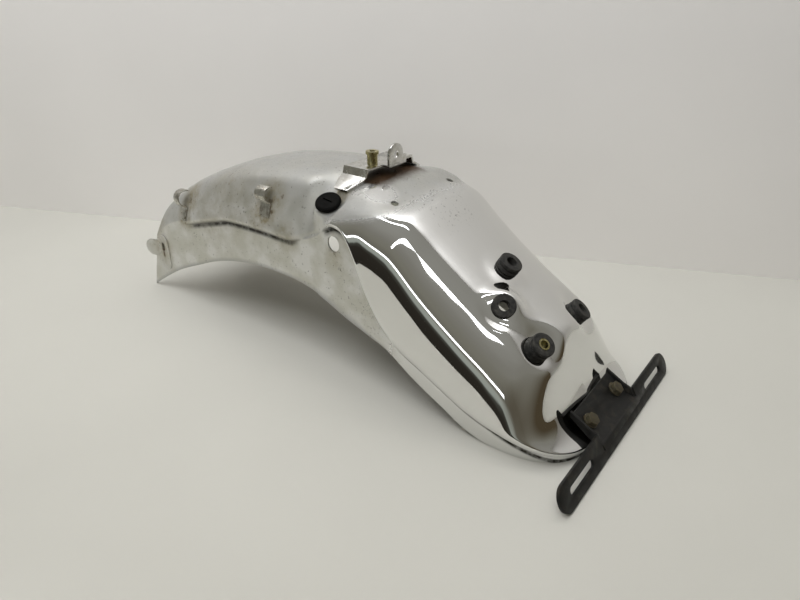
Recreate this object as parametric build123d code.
from build123d import *
import math
import os

# Rear fender of a motorcycle, resting on its front corners, its tail lip and the plate bracket.
# The frame has +X toward the tail, +Y toward the right side of the motorcycle and +Z up.
# Sizes are in millimetres. The floor is at Z = 0 and the middle plane of the fender at Y = 0.

# Sheet of the pressed shell, how far a piece is sunk before it is trimmed to the sheet,
# and the air between the sheet and a piece on a flat seat
WALL = 1.5
SINK = 0.3
SEAT_GAP = 0.3

# Side view of the shell: height over the floor at places along X
CREST = [
    (-300, 70), (-255, 106), (-214, 134), (-178, 151), (-139, 165), (-100, 174),
    (-60, 179), (-20, 181.5), (20, 181), (45, 178), (71, 170), (90, 166),
    (101, 158.5), (115, 147), (131, 135), (145, 125), (169, 109), (195, 95),
    (214, 86), (221, 81), (224, 72), (230, 51), (236, 36), (242, 27), (250, 20),
]
CREASE = [
    (-300, 20), (-282, 40), (-250, 72), (-222, 88), (-181, 100), (-143, 111),
    (-118, 117), (-66, 119), (-32, 119), (-9, 126), (8, 134), (22, 143), (32, 147),
    (40, 146), (48, 140), (56, 127), (64, 109), (74, 89), (90, 68), (106, 56),
    (127, 47), (152, 35), (177, 24), (205, 16), (223, 11), (250, 3),
]
LOWER_EDGE = [
    (-300, -12), (-282, 0), (-222, 35), (-180, 53), (-150, 65), (-118, 74), (-88, 79),
    (-58, 81), (-30, 81), (-4, 78), (21, 71), (40, 64), (64, 57), (88, 50),
    (116, 34), (148, 18), (178, 4), (200, 0), (250, 0),
]
FRONT_X = -282
FRONT_LEAN = 18

# Plan view of the shell: half width of the side flanges, and the rounded tail
HALF_WIDTH = [(-300, 67), (-180, 68), (-60, 70), (30, 74), (80, 77), (130, 80), (190, 81)]
TAIL_START = 190
TAIL_LENGTH = 75
TAIL_FULLNESS = 3.1
TAIL_SPINE = 0.8

# Cross section: outward step of the body over the flange, its edge radius, and the shoulder
STEP = [
    (-200, 0), (-170, 3), (-40, 3), (-15, 1), (-4, -3), (8, -2), (22, 3), (35, 6),
    (60, 7), (215, 7), (250, 4),
]
EDGE_RADIUS = [(-40, 5), (20, 5), (60, 8), (215, 8), (250, 5)]
SHOULDER_PLACE = [
    (-180, 0.80), (-20, 0.76), (6, 0.60), (30, 0.74), (50, 0.90), (66, 0.98), (95, 0.98),
    (120, 0.97), (180, 0.95), (200, 0.90), (214, 0.74), (222, 0.58), (230, 0.48), (250, 0.45),
]
SHOULDER_DROP = [(190, 1), (205, 3), (214, 5), (222, 11), (230, 16), (236, 14), (250, 6)]
SHOULDER_FULLNESS = [
    (-300, 2.0), (-20, 2.4), (6, 1.0), (30, 1.0), (50, 1.8), (66, 2.8), (95, 2.6),
    (120, 1.7), (180, 1.5), (200, 1.3), (214, 1.0),
]

# Number of spans along and across the lofted skin
BODY_SPANS = 24
FINE_SPANS = 240
EDGE_SPANS = 4
TAIL_SPANS = 16
SPINE_SPANS = [(-300, -20, 26), (-20, 45, 13), (45, 140, 12), (140, TAIL_START, 11)]

# Flat seats pressed into the shell: centre, outward direction, flat radius, blended radius
TOP_SEAT = ((158.5, 0, 118), (0.52, 0, 0.85), 12, 25)
SIDE_SEAT = ((210.0, -36.0, 75.5), (0.62, -0.20, 0.76), 14, 24)
WIRE_SEAT = ((178.1, -39.0, 103.9), (0.48, -0.58, 0.66), 13, 23)
PLUG_SEAT = ((15.8, -63.1, 161.4), (0.14, -0.44, 0.887), 13, 18)
FOOT_SEAT = ((21.0, -43.5, 175.3), (0.0, -0.39, 0.92), 8, 11.5)
SEATS = [TOP_SEAT, SIDE_SEAT, WIRE_SEAT, PLUG_SEAT, FOOT_SEAT]
SEAT_DEPTH = 40

# Rubber grommets of the tail lamp and of its wire
GROMMET_HOLE = 14
GROMMET_DIA = 20.5
GROMMET_NECK = 18.6
GROMMET_RISE = 8
GROMMET_GROOVE = 1
GROMMET_BORE = 9.6
GROMMET_INSIDE = 3
GROMMET_RING = 18.5
WIRE_GROMMET_DIA = 20
WIRE_GROMMET_RISE = 2.5
WIRE_BORE = 9
RUBBER_ROUND = 0.9
FIT_GAP = 0.1

# Steel collar in the left tail lamp grommet
COLLAR_BORE = 6.6
COLLAR_PROUD = 0.4

# Rubber plug
PLUG_DIA = 23
PLUG_HOLE = 20
PLUG_RISE = 5
PLUG_ROUND = 2.6
PLUG_GAP = 1.4
PLUG_LIP_ROUND = 0.8
PLUG_BEAD = 0.6
PLUG_SLIT = (10, 1.6, 1.5)

# Holes of the shell, with the half lengths of the cutters through the sheet and across the shell
HOLE_CUT = 12
CUT_REACH = 200
PLATFORM_HOLE = (71.4, 41.9, 6.8)
SIDE_HOLE = (29.4, 131.5, 14)
EAR_HOLE = (-249, 57, 6, 10)
EAR_WIDTH = 20
EAR_TOP = 72
EAR_RISE = 1.2
EAR_FOOT = 8
HOOK = (-279.5, 42, 62)
HOOK_SPLAY = 14

# Licence plate bracket: sloping pan on the tail, and a strip with a slotted arm on each side
PLATE_SHEET = 2.5
PLATE_CENTRE = (274, 10.8)
PLATE_LEAN = 60
PLATE_SPAN = 234
PLATE_HEIGHT = 22
SLOT_CENTRES = 160
SLOT_LENGTH = 41
SLOT_WIDTH = 6.5
PAN_WIDTH = 79
PAN_TOP = (244, 26.2)
PAN_FOOT = (263.5, 12.2)
PAN_WALL_RISE = 5
PAN_WALL_KNEE = (3, 10)
PAN_TONGUE = 3

# Plate bolts, and the nuts welded inside the tail
BOLT_SPACING = 54
BOLT_PLACE = 0.58
BOLT_DIA = 6
BOLT_HOLE = 6.8
BOLT_HEAD_FLATS = 10
BOLT_HEAD = 4
BOLT_WASHER_DIA = 13
BOLT_WASHER = 1.2
BOLT_LENGTH = 14
NUT_FLATS = 10
NUT_HEIGHT = 5

# Seat bracket: bridge over the shell with two feet, a tab and a stud
BRIDGE_SHEET = 2
BRIDGE_X = (7.5, 34.5)
BRIDGE_TOP = 188
BRIDGE_HALF = 32
FOOT_HALF = 34
FOOT_TIP_HALF = 53
FOOT_TIP_WIDTH = 13.5
FOOT_TAPER = 37
CORNER_CLEAR = (1, 2)
TAB_WIDTH = 20
TAB_PLACE = -1
TAB_TOP = 206
TAB_HOLE = 6.5
TAB_TONGUE = 5
TAB_RETURN = 6
TAB_RETURN_HEIGHT = 8
STUD_PLACE = (24, -13)
STUD_DIA = 9.5
STUD_HEAD_DIA = 11.8
STUD_RISE = 11
STUD_HEAD = 2.6
STUD_SOCKET = 5
STUD_SOCKET_DEPTH = 6

# Wire clamps: strap bent to a hook, with a foot on the shell
# Each clamp has a place, an outward direction, a width, a foot length and a hook height
STRAP = 1.2
STRAP_BEND = 2
STRAP_ARM = 0.8
CLAMP_MID = ((-63.0, -65.0, 148.5), (-0.03, -0.937, 0.345), 14, 12, 14)
CLAMP_FRONT = ((-199.5, -62.9, 114.5), (-0.21, -0.90, 0.38), 12, 13, 18)


def through(stations, x):
    """Height of the smooth line through the stations at x, without overshoot."""
    if x <= stations[0][0]:
        return stations[0][1]
    if x >= stations[-1][0]:
        return stations[-1][1]
    slopes = [(b[1] - a[1]) / (b[0] - a[0]) for a, b in zip(stations, stations[1:])]
    turns = [slopes[0]]
    for before, after in zip(slopes, slopes[1:]):
        turns.append(0 if before * after <= 0 else 2 * before * after / (before + after))
    turns.append(slopes[-1])
    i = max(k for k in range(len(slopes)) if stations[k][0] <= x)
    (x0, z0), (x1, z1) = stations[i], stations[i + 1]
    run = x1 - x0
    t = (x - x0) / run
    start = z0 * (1 + 2 * t) * (1 - t) ** 2 + turns[i] * run * t * (1 - t) ** 2
    finish = z1 * t * t * (3 - 2 * t) + turns[i + 1] * run * t * t * (t - 1)
    return start + finish


def blend(t):
    """Smooth step from 0 to 1."""
    t = min(1, max(0, t))
    return t * t * (3 - 2 * t)


def seated(point):
    """Shell point, moved onto the seats that it lies in."""
    for centre, direction, flat, blended in SEATS:
        axis = Vector(*direction).normalized()
        offset = point - Vector(*centre)
        height = offset.dot(axis)
        radius = (offset - axis * height).length
        if radius < blended and abs(height) < SEAT_DEPTH:
            share = blend((blended - radius) / (blended - flat))
            point = point - axis * (height * share)
    return point


def flange_point(x):
    """Plan place of the flange beside spine place x."""
    if x <= TAIL_START:
        return x, through(HALF_WIDTH, x)
    along = min(1, (x - TAIL_START) / (TAIL_SPINE * TAIL_LENGTH))
    wide = HALF_WIDTH[-1][1] * (1 - along**TAIL_FULLNESS) ** (1 / TAIL_FULLNESS)
    return TAIL_START + TAIL_LENGTH * along, wide


def even_conic(corners, fullness):
    """Points at nearly even distances along the conic with these corners."""
    fine = []
    for i in range(FINE_SPANS + 1):
        t = i / FINE_SPANS
        shares = [(1 - t) ** 2, 2 * fullness * t * (1 - t), t * t]
        fine.append([sum(w * c[k] for w, c in zip(shares, corners)) / sum(shares) for k in (0, 1)])
    travel = [0]
    for before, after in zip(fine, fine[1:]):
        travel.append(travel[-1] + math.dist(before, after))
    points = []
    k = 0
    for i in range(BODY_SPANS + 1):
        goal = travel[-1] * i / BODY_SPANS
        while k < FINE_SPANS - 1 and travel[k + 1] < goal:
            k += 1
        share = (goal - travel[k]) / (travel[k + 1] - travel[k])
        points.append([a + (b - a) * share for a, b in zip(fine[k], fine[k + 1])])
    return points


def section(x):
    """Left half of the cross section at spine place x: body, edge and flange points."""
    plan_x, plan_y = flange_point(x)
    reach = math.hypot(plan_x - x, plan_y)
    across = Vector((plan_x - x) / reach, -plan_y / reach, 0)
    step = through(STEP, x)
    crest = through(CREST, x)
    crease = through(CREASE, x)
    radius = through(EDGE_RADIUS, x)
    fullness = through(SHOULDER_FULLNESS, x)
    shoulder_reach = through(SHOULDER_PLACE, x) * (reach + step)
    shoulder_height = crest - through(SHOULDER_DROP, x)

    def place(h, z):
        return Vector(x, 0, z) + across * h

    corners = [(0, crest), (shoulder_reach, shoulder_height), (reach + step, crease + radius)]
    body = [seated(place(h, z)) for h, z in even_conic(corners, fullness)]
    edge = [body[-1]]
    for i in range(1, EDGE_SPANS + 1):
        fall = i / EDGE_SPANS
        edge.append(place(reach + step * math.sqrt(1 - fall**2), crease + radius * (1 - fall)))
    flange = [place(reach, crease), place(reach, through(LOWER_EDGE, x))]
    return body, edge, flange


def spine_places():
    """Places along the spine where the shell has a cross section."""
    places = []
    for start, stop, spans in SPINE_SPANS:
        places += [start + (stop - start) * i / spans for i in range(spans)]
    for i in range(TAIL_SPANS + 1):
        along = math.sin(math.pi / 2 * i / TAIL_SPANS) ** (2 / TAIL_FULLNESS)
        places.append(TAIL_START + TAIL_SPINE * TAIL_LENGTH * along)
    return places


def inner_sections(sections):
    """Cross sections of the inner face, one wall inside the outer ones."""
    rows = [body[:-1] + edge + flange[1:] for body, edge, flange in sections]
    edge_end = BODY_SPANS + EDGE_SPANS
    result = []
    normals = []
    for i, row in enumerate(rows):
        before = rows[max(i - 1, 0)]
        after = rows[min(i + 1, len(rows) - 1)]
        last_normals = normals
        normals = []
        for j in range(len(row)):
            along = after[j] - before[j]
            across = row[min(j + 1, len(row) - 1)] - row[max(j - 1, 0)]
            normal = along.cross(across)
            if j == 0 or i == len(rows) - 1:
                normal = Vector(normal.X, 0, normal.Z)
            if normal.length < 1e-6:
                normal = last_normals[j]
            normals.append(normal.normalized())
        inner = [point + normal * WALL for point, normal in zip(row, normals)]
        result.append((inner[: BODY_SPANS + 1], inner[BODY_SPANS : edge_end + 1], inner[edge_end:]))
    return result


def skin(sections):
    """Faces lofted through the cross sections, and the wires of the sections."""
    wires = []
    for body, edge, flange in sections:
        body_edge = Edge.make_spline(body, parameters=[i / BODY_SPANS for i in range(BODY_SPANS + 1)])
        roll_edge = Edge.make_spline(edge, parameters=[i / EDGE_SPANS for i in range(EDGE_SPANS + 1)])
        wires.append(Wire([body_edge, roll_edge, Edge.make_line(*flange)]))
    return Shell.make_loft(wires).faces()


def lip_faces(outer, inner):
    """Faces that join the outer and inner skin along the front and the lower edge."""
    faces = []
    for outer_face, inner_face in zip(outer, inner):
        front = [min(f.edges(), key=lambda e: e.center().X) for f in (outer_face, inner_face)]
        faces.append(Face.make_surface_from_curves(*front))
    low = []
    for face in (outer[2], inner[2]):
        long_edges = sorted(face.edges(), key=lambda e: e.length)[-2:]
        low.append(min(long_edges, key=lambda e: e.center().Z))
    faces.append(Face.make_surface_from_curves(*low))
    return faces


def pressed_shell():
    """Closed sheet of the fender before its holes are cut."""
    sections = [section(x) for x in spine_places()]
    outer = skin(sections)
    inner = skin(inner_sections(sections))
    left = list(outer) + list(inner) + lip_faces(outer, inner)
    right = [mirror(face, about=Plane.XZ) for face in left]
    return Solid(Shell(left + right))


def seat_plane(seat, side=1):
    """Plane of a seat, with its Z axis outward; side -1 gives the seat mirrored to the right."""
    (x, y, z), (dx, dy, dz) = seat[:2]
    return Plane(origin=(x, side * y, z), x_dir=(dz, 0, -dx), z_dir=(dx, side * dy, dz))


def post(plane, diameter, bottom, top):
    """Cylinder on a plane, from the bottom height to the top height."""
    height = top - bottom
    return plane * Pos(0, 0, bottom) * Cylinder(
        diameter / 2, height, align=(Align.CENTER, Align.CENTER, Align.MIN)
    )


def bolt_plane(side):
    """Plane of a plate bolt on the outer face of the pan."""
    (x0, z0), (x1, z1) = PAN_TOP, PAN_FOOT
    x = x0 + BOLT_PLACE * (x1 - x0)
    z = z0 + BOLT_PLACE * (z1 - z0)
    normal = Vector(z0 - z1, 0, x1 - x0).normalized()
    return Plane(
        origin=Vector(x, side * BOLT_SPACING / 2, z) + normal * PLATE_SHEET,
        x_dir=(0, 1, 0),
        z_dir=normal,
    )


def fender_shell():
    shell = pressed_shell()
    lean = math.tan(math.radians(FRONT_LEAN))
    front = Polyline(
        (FRONT_X, 0),
        (FRONT_X + CUT_REACH * lean, CUT_REACH),
        (FRONT_X - CUT_REACH, CUT_REACH),
        (FRONT_X - CUT_REACH, -CUT_REACH),
        (FRONT_X, -CUT_REACH),
        close=True,
    )
    shell -= extrude(Plane.XZ * make_face(front), CUT_REACH, both=True)
    for side in (-1, 1):
        shell += ear(side)
    for seat, diameter in ((TOP_SEAT, GROMMET_HOLE), (WIRE_SEAT, GROMMET_HOLE), (PLUG_SEAT, PLUG_HOLE)):
        shell -= post(seat_plane(seat), diameter, -HOLE_CUT, HOLE_CUT)
    for side in (1, -1):
        shell -= post(seat_plane(SIDE_SEAT, side), GROMMET_HOLE, -HOLE_CUT, HOLE_CUT)
        x, y, diameter = PLATFORM_HOLE
        shell -= post(Plane((x, side * y, through(CREST, x))), diameter, -HOLE_CUT, HOLE_CUT)
        shell -= post(bolt_plane(side), BOLT_HOLE, -BOLT_LENGTH, BOLT_WASHER)
    x, z, diameter = SIDE_HOLE
    shell -= post(Plane.XZ * Pos(x, z, 0), diameter, -CUT_REACH, CUT_REACH)
    x, z, wide, tall = EAR_HOLE
    slot = Plane.XZ * Pos(x, z) * Rot(0, 0, 90) * SlotOverall(tall, wide)
    shell -= extrude(slot, CUT_REACH, both=True)
    return shell


def ear(side):
    """Round-topped ear standing proud of the flange, and the hook splayed outward in front of it."""
    x = EAR_HOLE[0]
    half = through(HALF_WIDTH, x)
    foot = through(LOWER_EDGE, x) + EAR_FOOT
    outline = Pos(x, (foot + EAR_TOP) / 2) * Rot(0, 0, 90) * SlotOverall(EAR_TOP - foot, EAR_WIDTH)
    low = half - WALL / 2
    high = half + EAR_RISE
    pad = extrude(Plane.XZ.offset(-side * (low + high) / 2) * outline, (high - low) / 2, both=True)
    tip, hook_low, hook_top = HOOK
    splay = math.radians(HOOK_SPLAY)
    root = FRONT_X + hook_top * math.tan(math.radians(FRONT_LEAN))
    length = (root - tip - WALL / 2 * math.sin(splay)) / math.cos(splay)
    tall = hook_top - hook_low
    plane = Plane(
        origin=(root, side * low, (hook_low + hook_top) / 2),
        x_dir=(-math.cos(splay), side * math.sin(splay), 0),
        z_dir=(side * math.sin(splay), math.cos(splay), 0),
    )
    hook = Pos((length - tall) / 2, 0) * SlotOverall(length + tall, tall)
    return pad + extrude(plane * hook, WALL / 2, both=True)


def grommet(seat, side=1):
    """Tall grommet: two outer rings with a groove between, a neck in the sheet, an inner ring."""
    ring = (GROMMET_RISE - GROMMET_GROOVE) / 2
    lower = fillet(post(Plane.XY, GROMMET_DIA, SEAT_GAP, ring).edges().group_by(Axis.Z)[-1], RUBBER_ROUND)
    upper = post(Plane.XY, GROMMET_DIA, ring + GROMMET_GROOVE, GROMMET_RISE)
    upper = fillet(upper.edges().filter_by(GeomType.CIRCLE), RUBBER_ROUND)
    body = lower + upper + post(Plane.XY, GROMMET_NECK, SEAT_GAP, GROMMET_RISE - RUBBER_ROUND)
    body += inner_ring(GROMMET_HOLE, GROMMET_RING, SEAT_GAP)
    body -= post(Plane.XY, GROMMET_BORE, -HOLE_CUT, HOLE_CUT)
    return seat_plane(seat, side) * body


def inner_ring(hole, ring_diameter, gap):
    """Neck of a rubber piece in its hole, and the ring that holds it behind the sheet."""
    low = -WALL - GROMMET_INSIDE
    neck = post(Plane.XY, hole - 2 * FIT_GAP, low, gap)
    return neck + post(Plane.XY, ring_diameter, low, -WALL - gap)


def wire_grommet():
    body = post(Plane.XY, WIRE_GROMMET_DIA, SEAT_GAP, WIRE_GROMMET_RISE)
    body = fillet(body.edges().group_by(Axis.Z)[-1], RUBBER_ROUND)
    body += inner_ring(GROMMET_HOLE, GROMMET_RING, SEAT_GAP)
    body -= post(Plane.XY, WIRE_BORE, -HOLE_CUT, HOLE_CUT)
    return seat_plane(WIRE_SEAT) * body


def collar_left():
    plane = seat_plane(SIDE_SEAT)
    low = -WALL - GROMMET_INSIDE
    high = GROMMET_RISE + COLLAR_PROUD
    return post(plane, GROMMET_BORE, low, high) - post(plane, COLLAR_BORE, -HOLE_CUT, HOLE_CUT)


def plug():
    body = post(Plane.XY, PLUG_DIA, PLUG_GAP, PLUG_RISE)
    body = fillet(body.edges().group_by(Axis.Z)[0], PLUG_LIP_ROUND)
    body = fillet(body.edges().group_by(Axis.Z)[-1], PLUG_ROUND)
    body += inner_ring(PLUG_HOLE, PLUG_HOLE + 2 * PLUG_BEAD, PLUG_GAP)
    length, width, depth = PLUG_SLIT
    body -= Pos(0, 0, PLUG_RISE - depth / 2) * Box(length, width, depth)
    return seat_plane(PLUG_SEAT) * body


def plate_bracket():
    """Pan on the tail, bent over to the lower band of the strip, and the two slotted arms."""
    lean = math.radians(PLATE_LEAN)
    down = Vector(math.cos(lean), 0, -math.sin(lean))
    normal = Vector(math.sin(lean), 0, math.cos(lean))
    centre = Vector(PLATE_CENTRE[0], 0, PLATE_CENTRE[1])
    strip = Plane(origin=centre, x_dir=(0, 1, 0), z_dir=normal)
    outline = SlotOverall(PLATE_SPAN, PLATE_HEIGHT)
    outline -= Pos(0, PLATE_HEIGHT / 2) * Rectangle(PAN_WIDTH, PLATE_HEIGHT)
    for side in (-1, 1):
        outline -= Pos(side * SLOT_CENTRES / 2, 0) * SlotOverall(SLOT_LENGTH, SLOT_WIDTH)
    arms = extrude(strip * outline, -PLATE_SHEET)
    bend = centre - normal * PLATE_SHEET / 2
    end = bend + down * PAN_TONGUE
    path = Polyline(PAN_TOP, PAN_FOOT, (bend.X, bend.Z), (end.X, end.Z))
    pan = extrude(Plane.XZ * offset_band(path), PAN_WIDTH / 2, both=True)
    top = centre - down * PLATE_HEIGHT / 2 - normal * PLATE_SHEET / 2
    web = Polyline(
        PAN_TOP,
        PAN_FOOT,
        (bend.X, bend.Z),
        (top.X, top.Z),
        (PAN_FOOT[0] - PAN_WALL_KNEE[0], PAN_FOOT[1] + PAN_WALL_KNEE[1]),
        (PAN_TOP[0], PAN_TOP[1] + PAN_WALL_RISE),
        close=True,
    )
    body = arms + pan
    for side in (-1, 1):
        wall_plane = Plane.XZ.offset(-side * (PAN_WIDTH - PLATE_SHEET) / 2)
        body += extrude(wall_plane * make_face(web), PLATE_SHEET / 2, both=True)
    for side in (-1, 1):
        body -= post(bolt_plane(side), BOLT_HOLE, -HOLE_CUT, HOLE_CUT)
    return body


def offset_band(path):
    """Band of plate thickness over a side view path."""
    points = [path @ 0] + [edge @ 1 for edge in path.edges()]
    upper = []
    for i, point in enumerate(points):
        before = points[max(i - 1, 0)]
        after = points[min(i + 1, len(points) - 1)]
        along = (after - before).normalized()
        upper.append(point + Vector(-along.Y, along.X) * PLATE_SHEET)
    return make_face(Polyline(*points, *reversed(upper), close=True))


def plate_bolt(side):
    plane = bolt_plane(side)
    washer = post(plane, BOLT_WASHER_DIA, 0, BOLT_WASHER)
    hexagon = RegularPolygon(BOLT_HEAD_FLATS / 2, 6, major_radius=False)
    head = extrude(plane.offset(BOLT_WASHER) * hexagon, BOLT_HEAD)
    return washer + head + post(plane, BOLT_DIA, -BOLT_LENGTH, BOLT_WASHER)


def weld_nut(side):
    plane = bolt_plane(side)
    top = -PLATE_SHEET - WALL
    hexagon = RegularPolygon(NUT_FLATS / 2, 6, major_radius=False)
    body = extrude(plane.offset(top) * hexagon, -NUT_HEIGHT)
    return body - post(plane, BOLT_DIA, -BOLT_LENGTH, BOLT_WASHER)


def seat_bracket():
    """Bridge with two sloping feet, a flat top, and a tab with a return at its rear edge."""
    half_sheet = BRIDGE_SHEET / 2
    x0, x1 = BRIDGE_X
    slope = FOOT_SEAT[1][1] / FOOT_SEAT[1][2]
    seat_y, seat_z = FOOT_SEAT[0][1], FOOT_SEAT[0][2]

    def foot_height(half):
        return seat_z + slope * (half + seat_y) + half_sheet + SEAT_GAP

    right = [
        (FOOT_TIP_HALF, foot_height(FOOT_TIP_HALF)),
        (FOOT_HALF, foot_height(FOOT_HALF)),
        (BRIDGE_HALF, BRIDGE_TOP - half_sheet),
    ]
    left = [(-y, z) for y, z in reversed(right)]
    path = Polyline(*right, *left)
    band = trace(path, BRIDGE_SHEET)
    bridge = extrude(Plane.YZ.offset(x0) * band, x1 - x0)
    cut = (x1 - x0 - FOOT_TIP_WIDTH) / 2
    before, beyond = CORNER_CLEAR
    for side in (-1, 1):
        for end, inward in ((x0, 1), (x1, -1)):
            corner = Polyline(
                (end - inward * before, side * FOOT_TAPER),
                (end + inward * cut, side * (FOOT_TIP_HALF + beyond)),
                (end - inward * before, side * (FOOT_TIP_HALF + beyond)),
                close=True,
            )
            bridge -= extrude(make_face(corner), CUT_REACH)
    tab_plane = Plane.YZ.offset(x1 + TAB_TONGUE)
    tongue = Pos(x1 + TAB_TONGUE / 2, TAB_PLACE, BRIDGE_TOP - half_sheet) * Box(
        TAB_TONGUE + 2 * BRIDGE_SHEET, TAB_WIDTH, BRIDGE_SHEET
    )
    low = BRIDGE_TOP - BRIDGE_SHEET
    round_centre = TAB_TOP - TAB_WIDTH / 2
    outline = Pos(TAB_PLACE, (low + round_centre) / 2) * Rectangle(TAB_WIDTH, round_centre - low)
    outline += Pos(TAB_PLACE, round_centre) * Circle(TAB_WIDTH / 2)
    outline -= Pos(TAB_PLACE, round_centre) * Circle(TAB_HOLE / 2)
    tab = extrude(tab_plane * outline, BRIDGE_SHEET)
    back = Pos(
        x1 + TAB_TONGUE + half_sheet,
        TAB_PLACE + (TAB_WIDTH + TAB_RETURN) / 2 - half_sheet,
        low + TAB_RETURN_HEIGHT / 2,
    ) * Box(BRIDGE_SHEET, TAB_RETURN, TAB_RETURN_HEIGHT)
    return bridge + tongue + tab + back


def seat_stud():
    plane = Plane((STUD_PLACE[0], STUD_PLACE[1], BRIDGE_TOP))
    body = post(plane, STUD_DIA, 0, STUD_RISE)
    body += post(plane, STUD_HEAD_DIA, STUD_RISE - STUD_HEAD, STUD_RISE)
    return body - post(plane, STUD_SOCKET, STUD_RISE - STUD_SOCKET_DEPTH, STUD_RISE)


def wire_clamp(clamp):
    """Strap with a foot on the shell, bent out, up and back to an open hook."""
    centre, direction, width, foot_length, height = clamp
    outward = Vector(*direction).normalized()
    along = (Vector(1, 0, 0) - outward * outward.X).normalized()
    plane = Plane(origin=centre, x_dir=outward.cross(along), z_dir=along)
    seat = STRAP / 2 - SINK
    foot = Line((-foot_length - STRAP_BEND, seat), (-STRAP_BEND, seat))
    knee = JernArc(foot @ 1, foot % 1, STRAP_BEND, 90)
    rise = Line(knee @ 1, knee @ 1 + Vector(0, STRAP_ARM))
    hook = JernArc(rise @ 1, rise % 1, height / 2, -180)
    end = Line(hook @ 1, hook @ 1 - Vector(0, STRAP_ARM))
    band = trace(foot + knee + rise + hook + end, STRAP)
    return extrude(plane * band, width / 2, both=True)


def trimmed(piece, shell):
    """Piece with what lies inside the sheet taken away, without the slivers beyond it."""
    return max((piece - shell).solids(), key=lambda solid: solid.volume)


def build():
    shell = fender_shell()
    parts = {"fender_shell": shell}
    parts["grommet_top"] = grommet(TOP_SEAT)
    parts["grommet_left"] = grommet(SIDE_SEAT)
    parts["grommet_right"] = grommet(SIDE_SEAT, -1)
    parts["collar_left"] = collar_left()
    parts["wire_grommet"] = wire_grommet()
    parts["rubber_plug"] = plug()
    parts["plate_bracket"] = trimmed(plate_bracket(), shell)
    for name, side in (("left", -1), ("right", 1)):
        parts[f"plate_bolt_{name}"] = plate_bolt(side)
        parts[f"weld_nut_{name}"] = trimmed(weld_nut(side), shell)
    parts["seat_bracket"] = trimmed(seat_bracket(), shell)
    parts["seat_stud"] = seat_stud()
    parts["wire_clamp_mid"] = trimmed(wire_clamp(CLAMP_MID), shell)
    parts["wire_clamp_front"] = trimmed(wire_clamp(CLAMP_FRONT), shell)
    return parts


os.makedirs("parts", exist_ok=True)
for node, solid in build().items():
    solid.label = node
    export_step(solid, f"parts/{node}.step")
